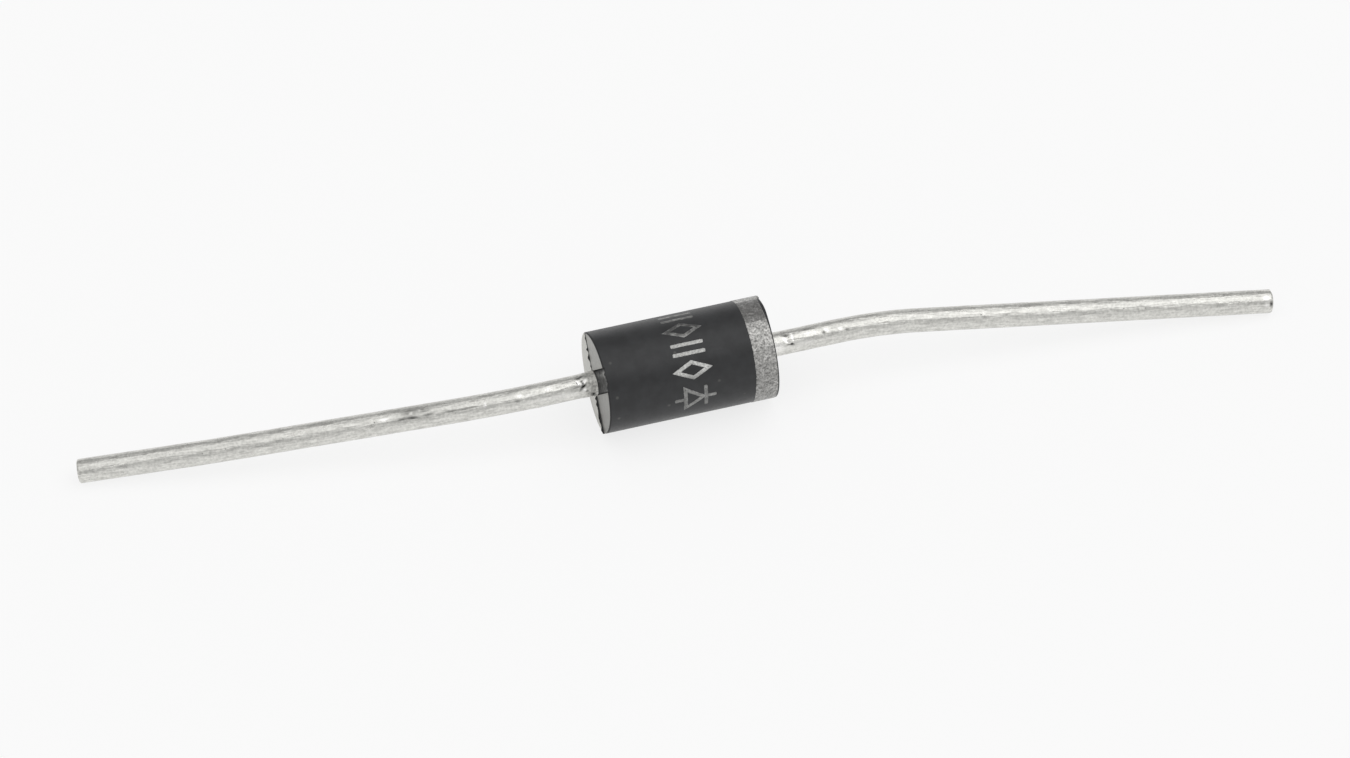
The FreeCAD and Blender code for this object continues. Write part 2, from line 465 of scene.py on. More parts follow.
class DIODE_OT_mould_body(bpy.types.Operator):
    """Mould the black epoxy body with its flash, drafted end faces and gate scar"""

    bl_idname = "diode.mould_body"
    bl_label = "Mould body"

    def execute(self, context):
        body = context.scene.diode_body
        halves = half_turns(body)
        turns = [0.0] + [near for near, far in halves] + [pi]
        turns += [TAU - far for near, far in reversed(halves)]
        skin = Skin()
        leans = [radians(lean) for lean in (0, 30, 60, 90)]
        anode = [rim_ring(skin, body, turns, -1, anode_face, lean) for lean in leans]
        cathode = [rim_ring(skin, body, turns, 1, cathode_face, lean) for lean in leans]
        end_face(skin, body, halves, anode[0], -1, anode_face, rows=44)
        end_face(skin, body, halves, cathode[0], 1, cathode_face, rows=16)
        side = side_rings(skin, body, turns, anode[-1], cathode[-1], rows=44)
        skin.join_all(anode + side + cathode[::-1])
        made = skin.make("body_moulding", sharp_angle=40)
        settle(made, epoxy_material(body.epoxy), ["epoxy_body"])
        return {"FINISHED"}


# Printed band and marks


def thin_ink_and_shade(place, x, roll):
    """How thin the band's ink is, and its painted shade.

    One stretch at its top took less ink, with a torn edge, and its lower front is darkened as painted
    shade.
    """
    turned = degrees(roll)
    torn = 1.6 * grain((x, place.x, place.y), 0.13 * MM, 8.0)
    top = min(turned - 65, 103 + torn - turned) / 0.6
    # Painted shade on the band's lower front.
    front = min(turned - 144, 260 - turned) / 12
    return held(max(top, 0.44 * min(1.0, front)))


class DIODE_OT_print_band(bpy.types.Operator):
    """Print the silver polarity band round the cathode end"""

    bl_idname = "diode.print_band"
    bl_label = "Print band"

    def execute(self, context):
        body = context.scene.diode_body
        ink = context.scene.diode_print
        skin = Skin()
        edge = body.diameter / 2 - body.rim_radius
        around = 560
        profile = [(0.0, -0.4), (0.0, 0.35), (0.008, 0.8)]
        profile += [(i / 24, 1.0) for i in range(1, 24)]
        profile += [(0.992, 0.8), (1.0, 0.35), (1.0, -0.4)]
        rings = [[] for _ in profile]
        for step in range(around):
            turn = TAU * step / around
            roll = body.parting_roll + turn
            place = Vector((cos(turn), sin(turn), 0.0)) * body.diameter / 2
            jag = grain(place, 0.09 * MM, 1.0) + 0.6 * grain(place, 0.3 * MM, 2.0)
            start = band_low.x + ink.ragged * (1 + jag)
            start -= 0.04 * MM * bump(turn - radians(140), 0.4)
            end = band_high.x + 0.35 * ink.ragged * grain(place, 0.15 * MM, 3.0)
            end += 0.18 * MM * inked_corner(turn) - 0.03 * MM * bare_rim(roll)
            rim_fall = cathode_face(body, edge * cos(turn), edge * sin(turn))[0]
            end = min(end, body.length / 2 - body.rim_radius - rim_fall)
            for ring, (along, level) in zip(rings, profile):
                x = start + (end - start) * along
                lumps = 0.12 * grain((x, place.x, place.y), 0.16 * MM)
                radius = body.diameter / 2 + side_relief(body, x, turn)
                radius += ink.ink_thickness * (level - 0.12 + lumps)
                ring.append(skin.point(round_axis(x, radius, roll), thin=thin_ink_and_shade(place, x, roll)))
        skin.join_all(rings + rings[:1])
        made = skin.make("band_print", sharp_angle=60)
        silver = ink_material("band ink", ink.band_ink, metallic=0.55, rough=0.36, uneven=1.0,
                              thin_shade=0.22)
        settle(made, silver, ["cathode_band"])
        return {"FINISHED"}


def evenly(corners, closed, step):
    """Points at about equal steps along a drawn line."""
    points = []
    for start, end in zip(corners, corners[1:] + corners[:closed]):
        count = max(1, round((end - start).length / step))
        points += [start.lerp(end, i / count) for i in range(count)]
    return points if closed else points + [corners[-1]]


def sides_of_line(points, closed, width):
    """Both sides of a stroke, mitred at its corners and a little uneven."""
    left, right = [], []
    count = len(points)
    for i, here in enumerate(points):
        before = points[i - 1] if closed or i else here
        after = points[(i + 1) % count] if closed or i < count - 1 else here
        back = (here - before).normalized() if here != before else (after - here).normalized()
        ahead = (after - here).normalized() if after != here else back
        middle = (back + ahead).normalized()
        mitre = max(0.5, middle.dot(ahead))
        square = Vector((-middle.y, middle.x)) * width / 2 / mitre
        thin = 1.0 if closed or 0 < i < count - 1 else 0.62
        uneven = 0.16 * grain((here.x, here.y, 0.0), 0.07 * MM)
        left.append(here + square * thin * (1 + uneven))
        right.append(here - square * thin * (1 - uneven))
    return left, right


def stroke_darkening(roll):
    """How thin the marks' ink is: full at the front, darker towards the bottom, nearly gone at the top.
    """
    turned = degrees(roll)
    worn_off = 1.1 + 0.35 * bump(turned - 85, 8) - 0.2 * held((78 - turned) / 8)
    # Darker towards the bottom; worn ink at the top.
    return max(worn_off * held((108 - turned) / 10), 0.95 * held((turned - 143) / 16))


def stroke(skin, body, ink, corners, closed, origin):
    """One inked stroke laid on the cylinder; x runs along the body and y round it."""
    radius = body.diameter / 2
    points = evenly([Vector(corner) * MM for corner in corners], closed, 0.04 * MM)
    left, right = sides_of_line(points, closed, ink.stroke)
    middle = [(a + b) / 2 for a, b in zip(left, right)]
    rows = []
    lines = ((left, -0.5, 1.0), (left, 0.55, 0.94), (middle, 1.0, 0.0), (right, 0.55, 0.94),
             (right, -0.5, 1.0))
    for line, level, aside in lines:
        row = []
        for place, centre in zip(line, middle):
            spot = centre + (place - centre) * aside
            x = origin[0] + spot.x
            roll = origin[1] + spot.y / radius
            height = side_relief(body, x, roll - body.parting_roll) + ink.mark_thickness * level
            row.append(skin.point(round_axis(x, radius + height, roll), thin=stroke_darkening(roll)))
        rows.append(row)
    skin.join_all(rows + rows[:1], closed)
    if not closed:
        for end in (0, -1):
            skin.faces.append(tuple(row[end] for row in rows))


# Strokes of each mark: corners in millimetres, along the body and round it, and whether they close
LOZENGE = ((((-0.86, 0.0), (0.0, -0.40), (0.86, 0.0), (0.0, 0.40)), True),)
BARS = ((((-0.86, -0.25), (0.86, -0.25)), False),
        (((-0.86, 0.25), (0.86, 0.25)), False))
DIODE_SYMBOL = ((((-0.52, -0.62), (0.42, 0.0), (-0.52, 0.62)), True),
                (((0.56, -0.66), (0.56, 0.66)), False),
                (((-1.10, 0.0), (-0.60, 0.0)), False),
                (((0.64, 0.0), (1.10, 0.0)), False))

# Roll of the body's side that faces the camera, and each mark's turn from it, in degrees
FACING = 133.3
ROW_OF_MARKS = ((43.0, DIODE_SYMBOL), (8.5, LOZENGE), (-16.0, BARS), (-40.5, LOZENGE), (-65.0, BARS))


class DIODE_OT_print_marks(bpy.types.Operator):
    """Print a row of plain marks round the middle of the body"""

    bl_idname = "diode.print_marks"
    bl_label = "Print marks"

    def execute(self, context):
        body = context.scene.diode_body
        ink = context.scene.diode_print
        skin = Skin()
        for turned, strokes in ROW_OF_MARKS:
            origin = (ink.mark_place, radians(FACING + turned))
            for corners, closed in strokes:
                stroke(skin, body, ink, corners, closed, origin)
        made = skin.make("body_marks", sharp_angle=60)
        grey = ink_material("mark ink", ink.mark_ink, metallic=0.0, rough=0.5, uneven=0.5,
                            thin_shade=0.1)
        made.data.materials.append(grey)
        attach(made, "root")
        return {"FINISHED"}


# Tinned leads


class Lead:
    """Line of one lead, measured from its end face outwards."""

    def __init__(self, side, length, bends, bend_radius, slant, dents):
        self.side = side
        self.bend_radius = bend_radius * MM
        self.roll = radians(-slant if side < 0 else 180 + slant)
        self.dents = dents
        self.turns = []
        shortened = 0.0
        for at, turned in bends:
            turn = radians(turned)
            setback = self.bend_radius * tan(turn / 2)
            self.turns.append((at * MM - setback - shortened, turn))
            shortened += 2 * setback - self.bend_radius * turn
        self.run = length * MM - shortened

    def matt(self, along):
        """How dull the lead is: the anode lead's root has chafed against the mould."""
        return held((0.82 * MM - along) / (0.3 * MM)) if self.side < 0 else 0.0

    def slope(self, along):
        """Angle between the lead and the body's axis at a distance along the lead."""
        return sum(turn * held((along - start) / (self.bend_radius * turn)) for start, turn in self.turns)

    def line(self, half_body, stations):
        """Middle and slope of the lead at every station."""
        here = Vector((self.side * (half_body + stations[0]), 0.0, axis_height))
        placed = []
        last = stations[0]
        for along in stations:
            slope = self.slope((last + along) / 2)
            ahead = Vector((self.side * cos(slope), 0.0, 0.0)) + across(self.roll) * sin(slope)
            here = here + ahead * (along - last)
            last = along
            placed.append((here, self.slope(along)))
        return placed

    def spoke(self, slope, roll):
        """Unit vector square to the lead, in the direction that the roll has on the straight part."""
        straight = across(roll)
        sideways = across(self.roll)
        share_sideways = straight.dot(sideways)
        turned = sideways * cos(slope) - Vector((self.side * sin(slope), 0.0, 0.0))
        return straight - sideways * share_sideways + turned * share_sideways


def wire_radius(leads, half_body, along, roll, parting_roll):
    """Radius of the plain lead, with its head, coined flat and root."""
    x = half_body + along
    if x <= leads.head_start + leads.head_thickness:
        return leads.head_diameter / 2
    if leads.flat_start <= x <= leads.flat_start + leads.flat_length:
        tilt = abs(sin(roll - parting_roll))
        return min(leads.flat_span / 2, leads.flat_thickness / 2 / max(tilt, 0.001))
    radius = leads.diameter / 2
    if x >= half_body - leads.root_inside:
        swell = leads.root_diameter / 2 - radius
        radius += swell * held(1 - along / leads.root_taper)
        radius += 0.014 * MM * bump(along, 0.05 * MM)
    return radius


class Dent:
    """Dent of the heading machine's jaws, or a worn, lighter or darker spot of a lead, in mm and degrees.

    Its depth is a share of the deepest dent's. Its shade is above 0 where the tin is lighter, partly
    burnished and partly painted highlight and painted reflection, and below 0 where it is darker, as
    painted shade in the dents and as dark streaks.
    """

    def __init__(self, along, turned, reach, width, slant, depth, shade):
        self.along = along * MM
        self.turn = radians(turned)
        self.reach = reach * MM
        self.width = width * MM
        self.slant = radians(slant)
        self.depth = depth
        self.shade = shade

    def share(self, along, roll, radius):
        """How far inside the dent a place on the lead lies."""
        ahead = along - self.along
        sideways = radius * wrapped(roll - self.turn)
        lengthwise = ahead * cos(self.slant) + sideways * sin(self.slant)
        off = sideways * cos(self.slant) - ahead * sin(self.slant)
        return bump(lengthwise, self.reach) * bump(off, self.width)


def dents_of(jaw, wear_and_light):
    """Dents of one jaw, the same dents of the jaw opposite, and the marks of handling, worn spots and
    painted reflections.
    """
    opposite = [(along, turned + 180, *rest) for along, turned, *rest in jaw]
    return [Dent(*row) for row in (*jaw, *opposite, *wear_and_light)]


# Rows of a Dent: place along the lead, turn, reach, width, slant, depth and shade
# The jaws' lighter and darker strokes are painted highlight and painted shade on the dents' facets.
ANODE_DENTS = dents_of(
    jaw=((0.95, 116, 0.16, 0.075, 128, 0.7, 1.5),
         (0.63, 119, 0.17, 0.075, 47, 0.8, 1.7),
         (0.69, 137, 0.22, 0.070, 45, 1.0, -1.20),
         (0.73, 112, 0.07, 0.060, 0, 0.6, -0.90),
         (0.80, 89, 0.28, 0.070, 17, 0.7, -0.90),
         (0.68, 156, 0.09, 0.075, 0, 0.4, 1.5),
         (0.56, 163, 0.07, 0.060, 0, 0.5, -0.90)),
    wear_and_light=((1.02, 138, 0.30, 0.060, 4, 0.7, -0.60),
          # Painted reflection: a broad lighter stretch on the lead's lower side.
          (2.20, 158, 1.50, 0.180, 0, 0.0, 0.26),
          (0.19, 190, 0.09, 0.110, 0, 0.8, -1.0),
          (2.08, 119, 0.06, 0.055, 0, 0.6, -0.35),
          (2.56, 114, 0.24, 0.120, 0, 0.1, 0.5),
          (2.56, 137, 0.20, 0.055, 5, 0.5, -0.25),
          (1.88, 141, 0.24, 0.055, -6, 0.4, -0.20),
          (3.60, 128, 0.30, 0.100, 0, 0.1, 0.35),
          (4.02, 120, 0.12, 0.080, 0, 0.2, 1.0),
          (4.15, 142, 0.14, 0.045, 0, 0.4, -0.7),
          (5.80, 132, 0.060, 0.120, 0, 0.2, 1.3),
          (6.75, 133, 0.40, 0.050, 2, 0.3, -0.45),
          (7.55, 133, 0.36, 0.055, -2, 0.3, -0.60),
          (8.65, 130, 0.30, 0.070, 4, 0.4, -0.72),
          (9.50, 134, 0.26, 0.075, -6, 0.5, -0.85),
          (10.05, 134, 0.30, 0.060, 3, 0.4, -0.70),
          (9.65, 104, 0.40, 0.200, 10, 0.2, -0.55),
          (8.95, 103, 0.38, 0.170, -8, 0.2, -0.50),
          (9.55, 110, 0.10, 0.055, 30, 0.1, 0.9),
          (9.10, 102, 0.09, 0.055, -40, 0.1, 0.8),
          (10.95, 120, 0.22, 0.065, 0, 0.1, 1.6)))
CATHODE_DENTS = dents_of(
    jaw=((1.03, 98, 0.20, 0.120, 12, 0.8, -0.75),
         (0.96, 121, 0.14, 0.085, 40, 0.5, 1.4),
         (1.36, 118, 0.26, 0.050, 90, 0.3, 1.2),
         (1.08, 138, 0.14, 0.055, 30, 0.5, 0.9),
         (1.28, 149, 0.08, 0.070, 0, 1.0, -1.3),
         (1.12, 148, 0.18, 0.050, 5, 0.6, -0.7)),
    # The first two rows, at roll 152, are painted reflection on the lead's lower side.
    wear_and_light=((0.42, 152, 0.50, 0.280, 0, 0.0, 0.8),
          (2.05, 152, 0.60, 0.160, 0, 0.0, 0.35),
          (2.26, 113, 0.40, 0.110, 4, 0.1, 0.5),
          (2.40, 139, 0.26, 0.050, 4, 0.4, -0.30),
          (2.18, 87, 0.20, 0.065, 0, 0.5, -0.55),
          (3.03, 127, 0.08, 0.080, 0, 0.9, -0.9),
          (3.23, 117, 0.10, 0.090, 0, 0.3, 1.2),
          (4.28, 137, 0.06, 0.060, 0, 0.8, -0.75),
          (3.92, 123, 0.14, 0.070, 20, 0.2, 0.8),
          (26.88, 120, 0.16, 0.160, 0, 0.3, 1.0),
          (26.88, 156, 0.12, 0.090, 0, 0.3, 0.7),
          (27.13, 150, 0.07, 0.160, 0, 0.6, -1.2)))

# Lengths and places of bends in millimetres, bends and slants in degrees
ANODE_LEAD = Lead(side=-1, length=26.70, bends=((5.05, 9.70), (20.0, 3.50)), bend_radius=30.0,
                  slant=30.520, dents=ANODE_DENTS)
CATHODE_LEAD = Lead(side=1, length=27.25, bends=((6.11, 8.80),), bend_radius=28.7,
                    slant=39.423, dents=CATHODE_DENTS)


def stations_of(leads, lead, half_body):
    """Distances along a lead at which it has a ring, twice where its radius steps."""
    gap = 0.001 * MM
    steps = [leads.head_start + leads.head_thickness, leads.flat_start,
             leads.flat_start + leads.flat_length, half_body - leads.root_inside]
    inner = [leads.head_start - half_body, -0.2 * MM, 0.0]
    for step in steps:
        inner += [step - half_body, step - half_body + gap]
    inner += [leads.flat_start - half_body - gap]
    fine = [0.035 * MM * i for i in range(1, 52)]
    rest = lead.run - leads.tip_chamfer - fine[-1]
    count = round(rest / (0.085 * MM))
    outer = [fine[-1] + rest * i / count for i in range(1, count + 1)]
    return sorted(set(inner + fine + outer + [lead.run - 0.4 * leads.tip_chamfer, lead.run]))


def scratches(lead, seed):
    """Small dents of handling, each with its place, turn, reach and depth."""
    draw = random.Random(seed)
    marks = []
    for _ in range(150):
        marks.append((draw.uniform(1.6 * MM, lead.run), draw.uniform(0.0, TAU),
                      draw.uniform(0.05, 0.13) * MM, draw.uniform(0.003, 0.012) * MM))
    return marks


def worn(marks, along, roll, radius):
    """Loss of height from the scratches near a point."""
    loss = 0.0
    for at, turn, reach, depth in marks:
        aside = radius * wrapped(roll - turn)
        if abs(along - at) <= 3 * reach and abs(aside) < 3 * reach:
            loss += depth * bump(along - at, 1.4 * reach) * bump(aside, reach)
    return loss


def draw_lead(leads, body, lead, name, seed):
    """Skin of one whole lead, from its head inside the body to its cut tip."""
    half_body = body.length / 2
    sides = 96
    skin = Skin()
    stations = stations_of(leads, lead, half_body)
    marks = scratches(lead, seed)
    rings = []
    for along, (middle, slope) in zip(stations, lead.line(half_body, stations)):
        near = [mark for mark in marks if abs(along - mark[0]) < 0.4 * MM]
        dents = [dent for dent in lead.dents if abs(along - dent.along) < 3 * dent.reach]
        cut = max(0.0, along - (lead.run - leads.tip_chamfer))
        handled = 1.0 + 2.0 * bump(along, 4.5 * MM)
        ring = []
        for side in range(sides):
            roll = TAU * side / sides
            radius = wire_radius(leads, half_body, along, roll, body.parting_roll)
            spot = Vector((along, radius * cos(roll), radius * sin(roll)))
            shade = 0.0
            if along > 0.0:
                stretched = (spot.x / 5, spot.y, spot.z)
                radius += 0.0035 * MM * grain(stretched, 0.16 * MM, seed)
                radius += 0.004 * MM * handled * grain(spot, 0.7 * MM, seed + 5)
                radius += 0.0015 * MM * handled * grain(spot, 0.22 * MM, seed + 9)
                radius -= worn(near, along, roll, radius)
                radius -= cut * (0.9 + 0.5 * grain(spot, 0.2 * MM, seed))
                for dent in dents:
                    inside = dent.share(along, roll, leads.diameter / 2)
                    radius -= leads.grip_depth * dent.depth * inside
                    shade += dent.shade * inside
            place = middle + lead.spoke(slope, roll) * radius
            # dark and bright carry the dents' painted shade and highlights, and the painted reflection of
            # the lower side.
            ring.append(skin.point(place, unbent=spot / MM, matt=lead.matt(along),
                                   dark=held(-shade), bright=held(shade)))
        rings.append(ring)
    skin.join_all(rings)
    close_end(skin, rings[0], 0.0)
    close_end(skin, rings[-1], 0.008 * MM)
    return skin.make(name, sharp_angle=50)


def close_end(skin, ring, roughness):
    """Closes a lead's end with a slightly uneven disc."""
    middle = sum((skin.points[i] for i in ring), Vector()) / len(ring)
    spot = sum((skin.painted["unbent"][i] for i in ring), Vector()) / len(ring)
    last = ring
    for inward in (0.72, 0.42):
        row = []
        for i in ring:
            place = middle.lerp(skin.points[i], inward)
            offset = roughness * grain(place, 0.2 * MM)
            row.append(skin.point(place + Vector((offset, 0.0, 0.0)),
                                  unbent=spot.lerp(skin.painted["unbent"][i], inward)))
        skin.join(last, row)
        last = row
    skin.fan(skin.point(middle, unbent=spot), last)


class DIODE_OT_draw_leads(bpy.types.Operator):
    """Draw both tinned leads with their heads, roots, jaw marks, bends and cut tips"""

    bl_idname = "diode.draw_leads"
    bl_label = "Draw leads"

    def execute(self, context):
        body = context.scene.diode_body
        leads = context.scene.diode_leads
        tin = tin_material(leads.tin)
        for lead, node, name, seed in ((ANODE_LEAD, "anode_lead", "anode_wire", 11.0),
                                       (CATHODE_LEAD, "cathode_lead", "cathode_wire", 29.0)):
            settle(draw_lead(leads, body, lead, name, seed), tin, [node])
        return {"FINISHED"}


# Materials


class Nodes:
    """Node tree in which an input takes a plain value or another node's output."""

    def __init__(self, tree):
        self.tree = tree

    def put(self, value, socket):
        """Sets an input, or links it where the value is an output."""
        if isinstance(value, bpy.types.NodeSocket):
            self.tree.links.new(value, socket)
        elif socket.type == "RGBA":
            socket.default_value = (*value, 1.0)
        else:
            socket.default_value = value

    def add(self, kind, *inputs, **named):
        """Node with its settings and inputs by name, and its first inputs in order."""
        node = self.tree.nodes.new(kind)
        for name, value in named.items():
            if hasattr(node, name):
                setattr(node, name, value)
            else:
                self.put(value, node.inputs[name.replace("_", " ")])
        for value, socket in zip(inputs, node.inputs):
            self.put(value, socket)
        return node

    def math(self, operation, first, second, clamp=False):
        return self.add("ShaderNodeMath", first, second, operation=operation,
                        use_clamp=clamp).outputs[0]

    def times(self, first, second):
        return self.math("MULTIPLY", first, second)

    def plus(self, first, second):
        return self.math("ADD", first, second)

    def blend(self, factor, first, second):
        """Colour between two others."""
        node = self.add("ShaderNodeMix", factor, data_type="RGBA")
        self.put(first, node.inputs[6])
        self.put(second, node.inputs[7])
        return node.outputs[2]

    def remap(self, value, low, high, to_low=0.0, to_high=1.0):
        """Value stretched from one range to another and held inside it."""
        return self.add("ShaderNodeMapRange", value, From_Min=low, From_Max=high, To_Min=to_low,
                        To_Max=to_high).outputs["Result"]

    def between(self, value, low, high):
        """Value from 0 to 1 stretched to another range."""
        return self.remap(value, 0.0, 1.0, low, high)

    def painted(self, name, output="Fac"):
        """Value painted on the points of a piece."""
        return self.add("ShaderNodeAttribute", attribute_name=name).outputs[output]

    def millimetres(self):
        """Place on the object in millimetres."""
        place = self.add("ShaderNodeTexCoord").outputs["Object"]
        return self.add("ShaderNodeVectorMath", place, operation="SCALE", Scale=1 / MM).outputs[0]

    def grains(self, vector, grain_per_mm, blotch_per_mm, specks_per_mm, speck_share=0.14):
        """Outputs of the shared grain at scales of this finish."""
        return self.add("ShaderNodeGroup", vector, grain_per_mm, blotch_per_mm, specks_per_mm,
                        speck_share, node_tree=grain_group()).outputs


class Finish(Nodes):
    """Material with nothing but its Principled shader and output to begin with."""

    def __init__(self, name):
        self.material = bpy.data.materials.new(name)
        self.material.use_nodes = True
        super().__init__(self.material.node_tree)
        self.shader = self.tree.nodes["Principled BSDF"]

    def set(self, **inputs):
        """Sets or links the shader's inputs."""
        for name, value in inputs.items():
            self.put(value, self.shader.inputs[name.replace("_", " ")])

    def dented(self, height, depth):
        """Bump of a depth in metres on the shader's normal."""
        self.set(Normal=self.add("ShaderNodeBump", Height=height, Distance=depth).outputs["Normal"])


def grain_group():
    """Fine grain, soft blotches and sparse specks, shared by every finish."""
    known = bpy.data.node_groups.get("Diode grain")
    if known:
        return known
    nodes = Nodes(bpy.data.node_groups.new("Diode grain", "ShaderNodeTree"))
    sockets = nodes.tree.interface
    sockets.new_socket("Vector", in_out="INPUT", socket_type="NodeSocketVector")
    for name in ("Grain per mm", "Blotch per mm", "Specks per mm", "Speck share"):
        sockets.new_socket(name, in_out="INPUT", socket_type="NodeSocketFloat")
    for name in ("Grain", "Blotch", "Speck"):
        sockets.new_socket(name, in_out="OUTPUT", socket_type="NodeSocketFloat")
    given = nodes.add("NodeGroupInput").outputs
    result = nodes.add("NodeGroupOutput").inputs
    for scale, name, detail, low, high in (("Grain per mm", "Grain", 2.0, 0.32, 0.68),
                                           ("Blotch per mm", "Blotch", 3.0, 0.36, 0.64)):
        texture = nodes.add("ShaderNodeTexNoise", Vector=given["Vector"], Scale=given[scale],
                            Detail=detail)
        nodes.put(nodes.remap(texture.outputs["Fac"], low, high), result[name])
    cells = nodes.add("ShaderNodeTexVoronoi", Vector=given["Vector"], Scale=given["Specks per mm"])
    near = nodes.remap(cells.outputs["Distance"], 0.05, 0.17, 1.0, 0.0)
    chosen = nodes.add("ShaderNodeSeparateColor", cells.outputs["Color"]).outputs[0]
    rare = nodes.remap(nodes.plus(chosen, given["Speck share"]), 1.0, 1.04)
    nodes.put(nodes.times(near, rare), result["Speck"])
    return nodes.tree


def tinted(rgb, factor):
    """Colour made darker or lighter."""
    return tuple(min(1.0, channel * factor) for channel in rgb)


def epoxy_material(rgb):
    """Black filled epoxy: satin side, faint blotches, pale specks, rough scar, torn parting line, painted
    shade and painted sheen.
    """
    finish = Finish("black epoxy")
    grains = finish.grains(finish.millimetres(), 9.0, 1.6, 1.5)
    seam = finish.painted("seam")
    broken = finish.painted("broken")
    base = finish.blend(grains["Blotch"], tinted(rgb, 0.82), tinted(rgb, 1.2))
    base = finish.blend(grains["Speck"], base, (0.07, 0.07, 0.066))
    # Pale broken epoxy, which in the gate scar also holds the lump's painted highlight.
    torn = finish.times(broken, finish.between(grains["Grain"], 0.35, 1.0))
    base = finish.blend(torn, base, (0.60, 0.60, 0.575))
    # Painted sheen: base colour of the end faces lightened to pale grey at grazing angles, where flat is
    # painted.
    facing = finish.add("ShaderNodeLayerWeight").outputs["Facing"]
    sheen = finish.times(finish.remap(facing, 0.715, 0.835), finish.painted("flat"))
    sheen = finish.times(sheen, finish.between(grains["Grain"], 0.8, 1.1))
    base = finish.blend(sheen, base, (0.62, 0.615, 0.57))
    # Painted shade: the parting line, the rounded rims and the gate scar's edges darkened towards black.
    base = finish.blend(seam, base, (0.006, 0.006, 0.006))
    rough = finish.plus(finish.between(grains["Grain"], 0.36, 0.44), finish.times(broken, 0.35))
    rough = finish.math("ADD", rough, finish.times(seam, 0.5), clamp=True)
    finish.set(Base_Color=base, Roughness=rough, IOR=1.46)
    rubble = finish.times(finish.times(broken, grains["Grain"]), 22.0)
    finish.dented(finish.plus(grains["Grain"], rubble), 0.0011 * MM)
    return finish.material


def ink_material(name, rgb, metallic, rough, uneven, thin_shade):
    """Printing ink with speckles, darker where it is thin and where painted shade is laid on."""
    finish = Finish(name)
    grains = finish.grains(finish.millimetres(), 10.0, 3.2, 5.5, 0.42 * uneven)
    mixed = finish.times(grains["Grain"], finish.between(grains["Blotch"], 0.66, 1.0))
    base = finish.blend(mixed, tinted(rgb, 1 - 0.6 * uneven), tinted(rgb, 1 + 0.55 * uneven))
    base = finish.blend(grains["Speck"], base, tinted(rgb, 0.28))
    # Darker where the ink is thin, and as painted shade on the band's lower front.
    thin = finish.times(finish.painted("thin"), finish.between(grains["Blotch"], 0.82, 0.56))
    base = finish.blend(thin, base, tinted(rgb, thin_shade))
    finish.set(Base_Color=base, Metallic=metallic,
               Roughness=finish.between(grains["Grain"], rough + 0.12, rough))
    finish.dented(grains["Grain"], 0.006 * MM)
    return finish.material


def tin_material(rgb):
    """Matt tin plate with drawn streaks, small mottles and pits, and the painted light and shade of its
    dents.
    """
    finish = Finish("tin plate")
    unbent = finish.painted("unbent", "Vector")
    drawn = finish.add("ShaderNodeVectorMath", unbent, (0.16, 1.0, 1.0), operation="MULTIPLY")
    mottle = finish.grains(unbent, 7.5, 2.2, 3.4)
    streak = finish.grains(drawn.outputs[0], 9.0, 3.0, 1.5)
    matt = finish.painted("matt")
    bright = finish.painted("bright")
    light = finish.plus(finish.times(mottle["Grain"], 0.5), finish.times(streak["Grain"], 0.5))
    base = finish.blend(light, tinted(rgb, 0.70), tinted(rgb, 1.18))
    base = finish.blend(mottle["Speck"], base, tinted(rgb, 0.42))
    dull = finish.blend(mottle["Grain"], tinted(rgb, 0.66), tinted(rgb, 1.14))
    base = finish.blend(matt, base, dull)
    # Lighter where bright is painted, partly burnish and partly painted highlight and reflection; darker
    # where dark is painted, partly painted shade.
    base = finish.blend(bright, base, (0.98, 0.97, 0.95))
    base = finish.blend(finish.painted("dark"), base, (0.012, 0.012, 0.012))
    rough = finish.plus(finish.between(mottle["Blotch"], 0.24, 0.34),
                        finish.times(streak["Blotch"], 0.08))
    rough = finish.plus(rough, finish.times(matt, 0.22))
    rough = finish.math("SUBTRACT", rough, finish.times(bright, 0.12))
    finish.set(Base_Color=base, Roughness=rough, Metallic=1.0)
    height = finish.plus(finish.times(mottle["Grain"], 0.6), streak["Grain"])
    finish.dented(finish.math("SUBTRACT", height, mottle["Speck"]), 0.009 * MM)
    return finish.material


def inner_material(name, rgb, metallic, rough, depth):
    """Finish of a piece inside the body."""
    finish = Finish(name)
    grains = finish.grains(finish.millimetres(), 6.0, 1.8, 3.0)
    finish.set(Base_Color=finish.blend(grains["Blotch"], tinted(rgb, 0.85), tinted(rgb, 1.15)),
               Roughness=finish.between(grains["Grain"], rough, rough + 0.1), Metallic=metallic)
    finish.dented(grains["Grain"], depth)
    return finish.material


class DIODE_OT_finish_inside(bpy.types.Operator):
    """Give the die, the solder and the rubber coating their finishes"""

    bl_idname = "diode.finish_inside"
    bl_label = "Finish inside"

    def execute(self, context):
        silicon = inner_material("lapped silicon", (0.20, 0.21, 0.24), metallic=0.6, rough=0.22,
                                 depth=0.0004 * MM)
        solder = inner_material("dull solder", (0.60, 0.60, 0.60), metallic=1.0, rough=0.38,
                                depth=0.003 * MM)
        rubber = inner_material("silicone rubber", (0.58, 0.56, 0.51), metallic=0.0, rough=0.5,
                                depth=0.004 * MM)
        finishes = {"silicon_die": silicon, "anode_solder": solder, "cathode_solder": solder,
                    "junction_coating": rubber}
        for name, material in finishes.items():
            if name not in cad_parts:
                raise RuntimeError("the packed model has no node named " + name)
            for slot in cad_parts[name].material_slots:
                slot.material = material
        return {"FINISHED"}


# Stage


